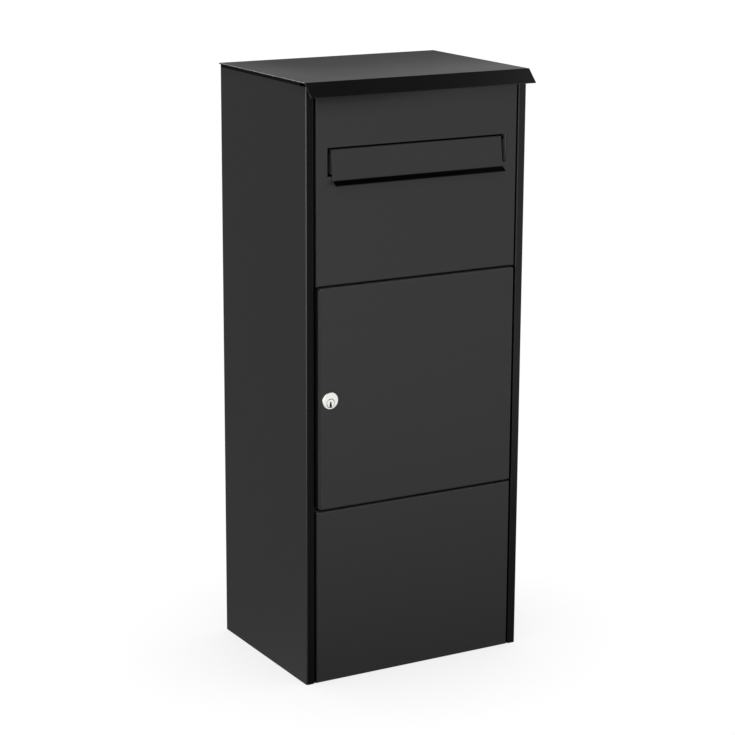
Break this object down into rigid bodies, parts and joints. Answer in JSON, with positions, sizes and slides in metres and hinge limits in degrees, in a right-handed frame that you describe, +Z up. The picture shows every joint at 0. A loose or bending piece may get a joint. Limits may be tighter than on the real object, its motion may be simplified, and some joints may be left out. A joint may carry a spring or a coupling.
{
  "type": "mailbox",
  "caption": "Tall black sheet-steel letter and parcel box with a flat drip-lip roof, a lifting letter flap and a right-hinged door with a cam lock, for a wall or the ground",
  "frame": {"origin": "on the ground, under the middle of the cabinet's footprint", "axes": "X to the right seen from the front, Y to the back, towards the wall, Z up"},
  "size_m": [0.41, 0.3177, 0.983],
  "materials": {
    "black_coat": "satin black powder coat",
    "polished_nickel": "bright nickel plate",
    "zinc_steel": "zinc plated",
    "nylon": "moulded",
    "black_rubber": "matt"
  },
  "bodies": {
    "cabinet": {"left_side_panel": "black_coat", "right_side_panel": "black_coat", "back_panel": "black_coat", "base_plate": "black_coat", "roof": "black_coat", "left_roof_rail": "black_coat", "right_roof_rail": "black_coat", "roof_nuts": "zinc_steel", "upper_front_panel": "black_coat", "lower_front_panel": "black_coat", "panel_rivets": "zinc_steel", "mail_shelf": "black_coat", "left_shelf_rail": "black_coat", "right_shelf_rail": "black_coat", "letter_chute": "black_coat", "left_flap_bracket": "black_coat", "right_flap_bracket": "black_coat", "flap_buffers": "black_rubber", "upper_hinge_bush": "nylon", "lower_hinge_bush": "nylon", "strike_plate": "zinc_steel", "door_buffers": "black_rubber"},
    "door": {"door_panel": "black_coat", "door_stiffener": "black_coat", "upper_hinge_pin": "zinc_steel", "lower_hinge_pin": "zinc_steel", "lock_housing": "polished_nickel", "lock_nut": "zinc_steel"},
    "lock": {"lock_plug": "polished_nickel", "lock_cam": "zinc_steel", "cam_screw": "zinc_steel"},
    "flap": {"letter_flap": "black_coat", "flap_hinge_rod": "zinc_steel", "flap_rod_clips": "zinc_steel"}
  },
  "joints": [
    {"name": "door_hinge", "type": "hinge", "parent": "cabinet", "child": "door", "pos_m": [0.17392, -0.1419, 0.477], "axis": [0, 0, 1], "range_deg": [0, 105]},
    {"name": "lock_turn", "type": "hinge", "parent": "door", "child": "lock", "pos_m": [-0.1629, -0.1529, 0.4734], "axis": [0, 1, 0], "range_deg": [0, 90]},
    {"name": "flap_hinge", "type": "hinge", "parent": "cabinet", "child": "flap", "pos_m": [0, -0.1375, 0.8713], "axis": [-1, 0, 0], "range_deg": [0, 75]}
  ]
}
